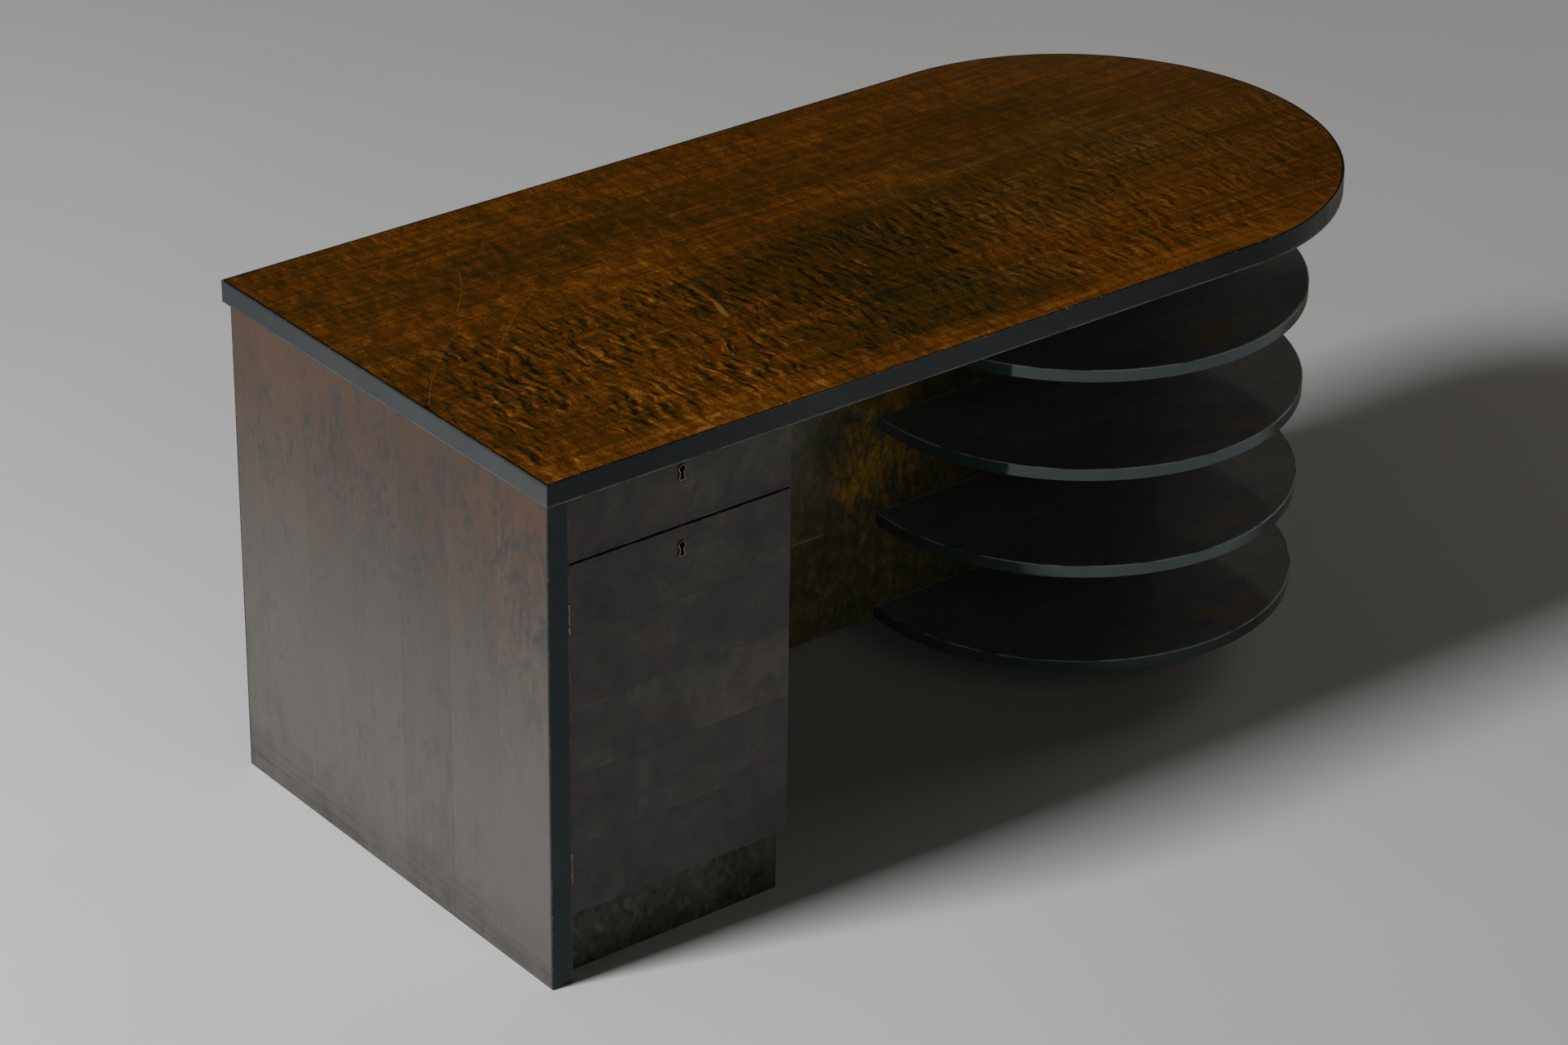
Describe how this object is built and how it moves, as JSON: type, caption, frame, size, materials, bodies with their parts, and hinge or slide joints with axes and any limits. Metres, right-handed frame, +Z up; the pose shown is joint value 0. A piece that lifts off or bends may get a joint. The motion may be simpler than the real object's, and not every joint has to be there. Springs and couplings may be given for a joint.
{
  "type": "captains desk",
  "caption": "Writing desk with a half-round end over open round shelves, a middle panel, and a pedestal with a locking drawer above a locking cupboard.",
  "frame": {"origin": "on the floor, under the middle of the top's bounding box", "axes": "+X along the desk towards its half-round end, +Y from the user's side to the rear, +Z up"},
  "size_m": [1.6, 0.76, 0.755],
  "materials": {
    "figured_veneer": "amber-brown figured birch veneer under worn satin lacquer",
    "dark_veneer": "dark grey-brown stained birch veneer, satin lacquer",
    "black_lacquer": "blue-black lacquered lipping, semi-gloss",
    "plain_birch": "plain birch, waxed",
    "brass": "aged brass",
    "lock_steel": "plain steel"
  },
  "bodies": {
    "carcass": {"top_core": "dark_veneer", "top_veneer": "figured_veneer", "top_edge_band": "black_lacquer", "top_dowels": "plain_birch", "left_gable": "dark_veneer", "gable_front_band": "black_lacquer", "gable_rear_band": "black_lacquer", "pedestal_side": "dark_veneer", "pedestal_bottom": "plain_birch", "pedestal_divider": "plain_birch", "pedestal_back": "dark_veneer", "plinth_front": "dark_veneer", "plinth_rear": "dark_veneer", "cupboard_shelf": "plain_birch", "shelf_pegs": "plain_birch", "modesty_panel": "dark_veneer", "panel_end_band": "black_lacquer", "round_shelf_1": "dark_veneer", "round_shelf_2": "dark_veneer", "round_shelf_3": "dark_veneer", "round_shelf_4": "dark_veneer", "shelf_band_1": "black_lacquer", "shelf_band_2": "black_lacquer", "shelf_band_3": "black_lacquer", "shelf_band_4": "black_lacquer", "round_plinth": "dark_veneer", "upper_gable_leaf": "brass", "lower_gable_leaf": "brass", "upper_hinge_pin": "brass", "lower_hinge_pin": "brass", "gable_hinge_screws": "brass"},
    "drawer": {"drawer_front": "dark_veneer", "drawer_left_side": "plain_birch", "drawer_right_side": "plain_birch", "drawer_back": "plain_birch", "drawer_bottom": "plain_birch", "drawer_escutcheon": "brass", "drawer_lock_case": "lock_steel", "drawer_lock_cap": "lock_steel", "drawer_lock_screws": "lock_steel"},
    "drawer_bolt": {"drawer_bolt": "brass"},
    "door": {"cupboard_door": "dark_veneer", "door_escutcheon": "brass", "door_lock_case": "lock_steel", "door_lock_cap": "lock_steel", "door_lock_screws": "lock_steel", "upper_door_leaf": "brass", "lower_door_leaf": "brass", "door_hinge_screws": "brass"},
    "door_bolt": {"door_bolt": "brass"}
  },
  "joints": [
    {"name": "drawer_slide", "type": "slide", "parent": "carcass", "child": "drawer", "axis": [0, -1, 0], "range_m": [0, 0.42]},
    {"name": "door_swing", "type": "hinge", "parent": "carcass", "child": "door", "pos_m": [-0.76625, -0.378, 0.366], "axis": [0, 0, -1], "range_deg": [0, 110]},
    {"name": "drawer_bolt_throw", "type": "slide", "parent": "drawer", "child": "drawer_bolt", "axis": [0, 0, 1], "range_m": [0, 0.007]},
    {"name": "door_bolt_throw", "type": "slide", "parent": "door", "child": "door_bolt", "axis": [0, 0, 1], "range_m": [0, 0.007]}
  ]
}
